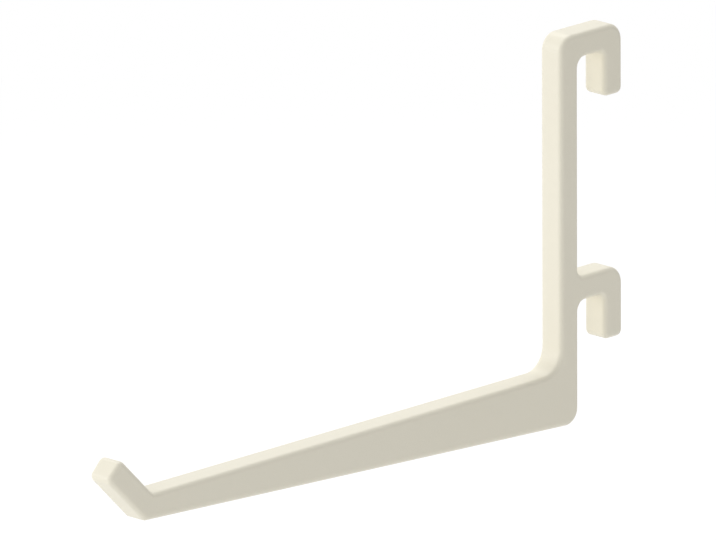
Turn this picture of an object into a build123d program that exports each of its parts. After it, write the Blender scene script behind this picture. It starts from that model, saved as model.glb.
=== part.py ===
from build123d import *
import os

# A pegboard hook, moulded in one piece. Two lugs hang its post in the slots of a board,
# and a long arm runs out from the foot of the post to an upturned tip.
# Millimetres. +Z is up, +Y points into the board and X lies across the hook. The origin
# is on the post's back face, at mid-width, midway between the two lug seats.

# The board and its slots
LUG_PITCH = 40.0  # from one lug's seat to the other's
BOARD_THICKNESS = 5.0
BOARD_CLEARANCE = 0.9  # play between the board's back and the teeth

# Post and lugs
WIDTH = 4.65  # one width for the post, the lugs and the arm
POST_DEPTH = 4.05
BRIDGE_HEIGHT = 4.1  # the part of a lug that lies in the slot
TOOTH_DEPTH = 4.1
TOOTH_DROP = 7.6  # from the seat down to the tooth's foot

# Arm and tip
ARM_BELOW_SEAT = 10.9  # from the lower seat down to the arm's level top
ARM_LENGTH = 91.4  # along the top, from the post's front face to the bend
ROOT_HEIGHT = 9.25  # height of the arm at the post's back face
BEND_HEIGHT = 4.3  # height of the arm at the bend
TIP_ANGLE = 45.0  # rise of the tip above the level
TIP_LENGTH = 9.85  # along the tip's inner side
TIP_THICKNESS = 4.25

# Rounding
EDGE_RADIUS = 0.8  # along the outline, on both sides of the hook
CORNER_MARGIN = 0.25  # how much rounder the sharpest corners are than the edges
POST_TOP_RADIUS = 2.8
SHOULDER_RADIUS = 2.9  # where a lug's bridge turns down into its tooth
TOOTH_ROOT_RADIUS = 1.2  # inside that turn
SEAT_RADIUS = 1.7  # under the bridge, against the post
BRIDGE_TOP_RADIUS = 1.2  # on top of the lower bridge, against the post
HEEL_RADIUS = 2.6
ARM_ROOT_RADIUS = 3.8  # between the post's front face and the arm's top
BEND_RADIUS = 1.0  # inside the bend at the tip
SHARPEST_RADIUS = EDGE_RADIUS + CORNER_MARGIN

UPPER_SEAT = LUG_PITCH / 2
LOWER_SEAT = -LUG_PITCH / 2
ARM_TOP = LOWER_SEAT - ARM_BELOW_SEAT


def lug_corners(seat):
    """Corners and radii of one lug, from its shoulder round the tooth to the seat."""
    tooth_front = BOARD_THICKNESS + BOARD_CLEARANCE
    tooth_back = tooth_front + TOOTH_DEPTH
    foot = seat - TOOTH_DROP
    return [
        ((tooth_back, seat + BRIDGE_HEIGHT), SHOULDER_RADIUS),
        ((tooth_back, foot), SHARPEST_RADIUS),
        ((tooth_front, foot), SHARPEST_RADIUS),
        ((tooth_front, seat), TOOTH_ROOT_RADIUS),
        ((0, seat), SEAT_RADIUS),
    ]


def arm_corners():
    """Corners and radii of the arm, from its heel along the underside and back round the tip."""
    heel = Vector(0, ARM_TOP - ROOT_HEIGHT)
    bend = Vector(-POST_DEPTH - ARM_LENGTH, ARM_TOP)
    under_bend = bend - Vector(0, BEND_HEIGHT)
    along_tip = Vector(-1, 0).rotate(Axis.Z, -TIP_ANGLE)
    across_tip = along_tip.rotate(Axis.Z, 90)
    inner_end = bend + along_tip * TIP_LENGTH
    outer_end = inner_end + across_tip * TIP_THICKNESS
    underside = Axis(heel, under_bend - heel)
    outer_side = Axis(outer_end, along_tip)
    outer_bend = underside.intersect(outer_side)
    return [
        (heel, HEEL_RADIUS),
        (outer_bend, SHARPEST_RADIUS),
        (outer_end, SHARPEST_RADIUS),
        (inner_end, SHARPEST_RADIUS),
        (bend, BEND_RADIUS),
    ]


def hook_corners():
    """The whole side outline, from the top of the post round the back and out to the tip."""
    post_front = -POST_DEPTH
    return [
        ((post_front, UPPER_SEAT + BRIDGE_HEIGHT), POST_TOP_RADIUS),
        *lug_corners(UPPER_SEAT),
        ((0, LOWER_SEAT + BRIDGE_HEIGHT), BRIDGE_TOP_RADIUS),
        *lug_corners(LOWER_SEAT),
        *arm_corners(),
        ((post_front, ARM_TOP), ARM_ROOT_RADIUS),
    ]


def make_hook():
    """The outline extruded both ways from mid-width, with its long edges rounded."""
    corners, radii = zip(*hook_corners())
    with BuildPart() as hook:
        with BuildSketch(Plane.YZ):
            with BuildLine():
                FilletPolyline(*corners, radius=list(radii), close=True)
            make_face()
        extrude(amount=WIDTH / 2, both=True)
        sides = hook.faces().sort_by(Axis.X)
        fillet(sides[0].edges() + sides[-1].edges(), EDGE_RADIUS)
    return hook.part


os.makedirs("parts", exist_ok=True)
export_step(make_hook(), "parts/hook.step")
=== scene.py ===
# %% [markdown]
# # An ivory pegboard hook
# The hook is one plastic moulding: a flat post, two lugs that drop into the slots of a
# board, and a long arm with an upturned tip. Its solid comes from CAD at its real size, so
# this lesson leaves the shape alone and looks after everything that light does to it: the
# plastic, the studio around it and the camera. Loading the solid first gives every later
# cell real sizes to work from, in metres, and nothing has to be fitted by eye.

# %% Load the hook
import math

import bmesh
import bpy
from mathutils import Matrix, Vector


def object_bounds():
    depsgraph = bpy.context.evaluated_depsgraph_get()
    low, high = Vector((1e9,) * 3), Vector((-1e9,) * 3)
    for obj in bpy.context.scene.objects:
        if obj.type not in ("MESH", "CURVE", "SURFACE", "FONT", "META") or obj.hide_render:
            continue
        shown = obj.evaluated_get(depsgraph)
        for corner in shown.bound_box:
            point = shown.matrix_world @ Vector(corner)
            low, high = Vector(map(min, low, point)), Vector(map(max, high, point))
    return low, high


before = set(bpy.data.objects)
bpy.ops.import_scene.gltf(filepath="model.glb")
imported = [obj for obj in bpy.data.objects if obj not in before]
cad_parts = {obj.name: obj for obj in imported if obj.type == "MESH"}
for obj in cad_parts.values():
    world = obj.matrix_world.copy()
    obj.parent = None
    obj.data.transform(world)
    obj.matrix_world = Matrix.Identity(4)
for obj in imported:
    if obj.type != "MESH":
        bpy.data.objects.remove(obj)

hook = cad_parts["hook"]
cad_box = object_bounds()
hook_low, hook_high = cad_box
hook_size = hook_high - hook_low
hook_centre = (hook_low + hook_high) / 2
print("hook:", len(hook.data.polygons), "faces,", [round(1000 * side, 1) for side in hook_size], "mm")

# %% [markdown]
# ## Writing a finish as sums
# A finish is a small tree of shader nodes. Adding each Math node by hand hides the idea
# behind the wiring, so this class wraps one socket and lets plain Python write the sums:
# `0.4 + 0.1 * grain` adds the two nodes it needs. One method makes every other kind of
# node: its settings go in first, because they can change which sockets the node has, and
# then the values or links of its sockets.


# %% A socket that can be added and multiplied
class Wire:
    """One output socket in a node tree, with the sums that can be written on it."""

    def __init__(self, tree, socket=None):
        self.tree = tree
        self.socket = socket

    def node(self, kind, settings=None, sockets=None, output=0):
        """Adds a node to the tree and returns one of its outputs as a wire."""
        made = self.tree.nodes.new(kind)
        for name, value in (settings or {}).items():
            setattr(made, name, value)
        for name, value in (sockets or {}).items():
            if isinstance(value, Wire):
                self.tree.links.new(value.socket, made.inputs[name])
            else:
                made.inputs[name].default_value = value
        return Wire(self.tree, made.outputs[output] if made.outputs else None)

    def maths(self, operation, first, second):
        """Adds a Math node for one sum of two wires, or of a wire and a number."""
        return self.node("ShaderNodeMath", {"operation": operation}, {0: first, 1: second})

    def __add__(self, other):
        return self.maths("ADD", self, other)

    def __sub__(self, other):
        return self.maths("SUBTRACT", self, other)

    def __rsub__(self, other):
        return self.maths("SUBTRACT", other, self)

    def __mul__(self, other):
        return self.maths("MULTIPLY", self, other)

    __radd__ = __add__
    __rmul__ = __mul__


def blank_finish(name):
    """A new material with an empty node tree, and a wire to start its nodes from."""
    material = bpy.data.materials.new(name)
    material.use_nodes = True
    material.node_tree.nodes.clear()
    return material, Wire(material.node_tree)


print("wire methods:", [name for name in vars(Wire) if not name.startswith("_")])

# %% [markdown]
# ## Ivory plastic
# The real hook is moulded in a plastic that is ivory right through, in a satin mould: no
# gloss, no visible marks, and edges that catch a soft light. Such a surface is never one
# flat colour, though. The pigment is a shade uneven over a few centimetres, and a satin
# mould is often spark eroded, which leaves a fine even grain, here about a fifth of a
# millimetre, that breaks up reflections. Both are noise on Object coordinates, which stay
# with the solid and need no unwrapping. The grain is so shallow that bump is enough: it
# dulls the highlights on the rounded edges, and on the flat sides it is seen only from
# close by.

# %% Mix the ivory plastic
IVORY = (0.843, 0.799, 0.663, 1.0)
IVORY_PALE = (0.855, 0.815, 0.687, 1.0)
PIGMENT_DRIFT = 0.030  # metres from one paler patch to the next
PIGMENT_DETAIL = 2.0
GRAIN_PITCH = 0.0002
GRAIN_DETAIL = 3.0
GRAIN_DEPTH = 0.000024  # the whole range of the noise, of which the skin uses about half
SATIN = 0.46
SATIN_SPREAD = 0.08
PLASTIC_IOR = 1.5


def ivory_plastic():
    """Satin ivory plastic with a slow drift of pigment and a fine mould grain."""
    material, start = blank_finish("ivory_plastic")
    place = start.node("ShaderNodeTexCoord", output="Object")
    drift = start.node(
        "ShaderNodeTexNoise",
        sockets={"Vector": place, "Scale": 1 / PIGMENT_DRIFT, "Detail": PIGMENT_DETAIL},
    )
    grain = start.node(
        "ShaderNodeTexNoise",
        sockets={"Vector": place, "Scale": 1 / GRAIN_PITCH, "Detail": GRAIN_DETAIL},
    )
    colour = start.node(
        "ShaderNodeMix",
        {"data_type": "RGBA"},
        {"Factor": drift, "A": IVORY, "B": IVORY_PALE},
        output="Result",
    )
    relief = start.node(
        "ShaderNodeBump",
        sockets={"Height": grain, "Strength": 1.0, "Distance": GRAIN_DEPTH},
    )
    plastic = start.node(
        "ShaderNodeBsdfPrincipled",
        sockets={
            "Base Color": colour,
            "Roughness": SATIN + SATIN_SPREAD * (grain - 0.5),
            "Normal": relief,
            "IOR": PLASTIC_IOR,
        },
    )
    start.node("ShaderNodeOutputMaterial", sockets={"Surface": plastic})
    return material


hook.material_slots[0].material = ivory_plastic()
print("finish:", hook.material_slots[0].material.name, "on", hook.name)

# %% [markdown]
# ## The pale room
# From a third to a half of the light on the hook comes from the pale walls of the room,
# some of it by way of the floor. Walls could be built, but an even light from all round does
# the same and leaves the camera free to move, so the world is the room. The walls are plain
# white for rays that see them directly, which come from the camera, or by way of a
# reflection or a clear material. Everywhere else they give a good deal less light, so that
# the hook's ivory keeps its colour.

# %% Fill the room with light
WHITE = (1.0, 1.0, 1.0, 1.0)
ROOM_LIGHT = 0.415
SEEN_RAYS = ("Is Camera Ray", "Is Glossy Ray", "Is Transmission Ray")


def seen_directly(start):
    """1 on rays from the camera, a reflection or a clear material, and 0 on other rays."""
    camera_ray, glossy_ray, clear_ray = [start.node("ShaderNodeLightPath", output=ray) for ray in SEEN_RAYS]
    return camera_ray + glossy_ray + clear_ray


room = bpy.data.worlds.new("pale_room")
room.use_nodes = True
room.node_tree.nodes.clear()
start = Wire(room.node_tree)
wall_light = start.node("ShaderNodeBackground", sockets={"Color": WHITE, "Strength": ROOM_LIGHT})
white_wall = start.node("ShaderNodeBackground", sockets={"Color": WHITE, "Strength": 1.0})
walls = start.node("ShaderNodeMixShader", sockets={0: seen_directly(start), 1: wall_light, 2: white_wall})
start.node("ShaderNodeOutputWorld", sockets={"Surface": walls})
bpy.context.scene.world = room
print("room:", room.name, "at", ROOM_LIGHT)

# %% [markdown]
# ## A white floor
# The hook is shown as if it hung on its board, on plain white. A floor a few centimetres
# below it bounces light up to the undersides and takes its shadow. A paper sweep would hide
# the horizon from one side only, so here the paint, which glows very faintly, gives way to
# plain white further out, all round, and meets the white walls with no line between them.
# Only rays that see the floor directly meet the glow and the white. For the light that
# bounces up to the hook the floor is paint all over.

# %% Lay the floor
FLOOR_PAINT = (0.92, 0.92, 0.92, 1.0)
FLOOR_GLOW = 0.18
FLOOR_DROP = 0.060  # metres below the hook's heel
FLOOR_HALF = 5.0
PAINT_REACH = 0.10  # metres from under the hook to where the paint starts to give way
WHITE_REACH = 0.45  # and to where it has
under_hook = Vector((0.0, hook_centre.y, hook_low.z - FLOOR_DROP))


def white_floor():
    """White paint that takes the hook's shadow and turns to plain white further out."""
    material, start = blank_finish("white_floor")
    place = start.node("ShaderNodeTexCoord", output="Object")
    reach = start.node(
        "ShaderNodeVectorMath",
        {"operation": "DISTANCE"},
        {0: place, 1: under_hook},
        output="Value",
    )
    far_out = start.node(
        "ShaderNodeMapRange",
        {"interpolation_type": "SMOOTHSTEP"},
        {"Value": reach, "From Min": PAINT_REACH, "From Max": WHITE_REACH},
    )
    paint = start.node("ShaderNodeBsdfDiffuse", sockets={"Color": FLOOR_PAINT})
    glow = start.node("ShaderNodeEmission", sockets={"Color": WHITE, "Strength": FLOOR_GLOW})
    glowing_paint = start.node("ShaderNodeAddShader", sockets={0: paint, 1: glow})
    plain_white = start.node("ShaderNodeEmission", sockets={"Color": WHITE, "Strength": 1.0})
    looks = start.node("ShaderNodeMixShader", sockets={0: far_out, 1: glowing_paint, 2: plain_white})
    whole = start.node("ShaderNodeMixShader", sockets={0: seen_directly(start), 1: paint, 2: looks})
    start.node("ShaderNodeOutputMaterial", sockets={"Surface": whole})
    return material


floor_mesh = bpy.data.meshes.new("floor")
floor_shape = bmesh.new()
bmesh.ops.create_grid(floor_shape, x_segments=1, y_segments=1, size=FLOOR_HALF)
bmesh.ops.translate(floor_shape, verts=floor_shape.verts, vec=(0, 0, under_hook.z))
floor_shape.to_mesh(floor_mesh)
floor_shape.free()
floor_mesh.materials.append(white_floor())
floor = bpy.data.objects.new("floor", floor_mesh)
bpy.context.scene.collection.objects.link(floor)
print("floor:", round(1000 * under_hook.z, 1), "mm up, in the hook's own frame")

# %% [markdown]
# ## Three softboxes
# The photograph has no hard shadow: the front and the top of the hook are equally bright,
# and the side that faces right is about a third darker. One big lamp could light the front
# and the top alike, but it would hang so high that the tip's outer side, which looks forward
# and down, stayed dark. So one softbox stands low in front at the left, a weaker one stands
# low in front just right of the arm, where it softens the step from the front to the side,
# and one hangs high behind at the left, where it lights the tops and reaches the front only
# by way of the floor. They are area lamps, because a lamp's size is what softens its shadow,
# and they stay out of the camera's sight.

# %% Place the softboxes
SOFTBOX_SIZE = 0.8  # metres
SOFTBOX_DISTANCE = 1.2
SOFTBOXES = {
    "left_softbox": (-45, 15, 5.7),  # azimuth and elevation in degrees, and watts
    "front_softbox": (25, 15, 3.0),
    "high_softbox": (225, 60, 7.6),
}


def towards(azimuth, elevation):
    """Unit vector from the hook to a place around it. Azimuth 0 is straight out along the arm."""
    turn, rise = math.radians(azimuth), math.radians(elevation)
    return Vector((math.sin(turn) * math.cos(rise), -math.cos(turn) * math.cos(rise), math.sin(rise)))


def face_hook(thing, place, aim):
    """Stands a lamp or the camera in its place and turns it to the point that it looks at."""
    thing.location = place
    thing.rotation_euler = (aim - place).to_track_quat("-Z", "Y").to_euler()


def softbox(name, azimuth, elevation, watts):
    """A square lamp that faces the middle of the hook and that the camera doesn't see."""
    lamp = bpy.data.lights.new(name, "AREA")
    lamp.energy = watts
    lamp.size = SOFTBOX_SIZE
    stand = bpy.data.objects.new(name, lamp)
    stand.visible_camera = False
    bpy.context.scene.collection.objects.link(stand)
    face_hook(stand, hook_centre + SOFTBOX_DISTANCE * towards(azimuth, elevation), hook_centre)


for name, (azimuth, elevation, watts) in SOFTBOXES.items():
    softbox(name, azimuth, elevation, watts)
    print(f"{name}: {watts} W, {azimuth} degrees round and {elevation} up")

# %% [markdown]
# ## The camera
# In the photograph the hook is about as wide at its far lugs as at its near tip, so it was
# taken from far away. A very long lens several metres off gives that flat view, and still
# lets the camera be carried round the hook for other views. It stands to the right of the
# arm and a little above it, and it leans by a quarter of a degree, as the photograph does,
# so that the post comes out upright.

# %% Set up the camera
VIEW_AZIMUTH = 44.50  # degrees, as for the softboxes
VIEW_ELEVATION = 16.20
VIEW_TILT = -0.24
LENS = 1200.0  # millimetres
CAMERA_DISTANCE = 3.743  # metres
AIM = Vector((0.0, -0.04757, -0.00521))  # the point in the middle of the picture

camera_data = bpy.data.cameras.new("camera")
camera_data.lens = LENS
camera = bpy.data.objects.new("camera", camera_data)
bpy.context.scene.collection.objects.link(camera)
face_hook(camera, AIM + CAMERA_DISTANCE * towards(VIEW_AZIMUTH, VIEW_ELEVATION), AIM)
camera.rotation_euler.rotate_axis("Z", math.radians(VIEW_TILT))
bpy.context.scene.camera = camera
bpy.context.scene.view_settings.view_transform = "Standard"
print("camera:", [round(part, 3) for part in camera.location], "m")

# %% [markdown]
# ## The hook's size
# Nothing here has changed the hook's size.
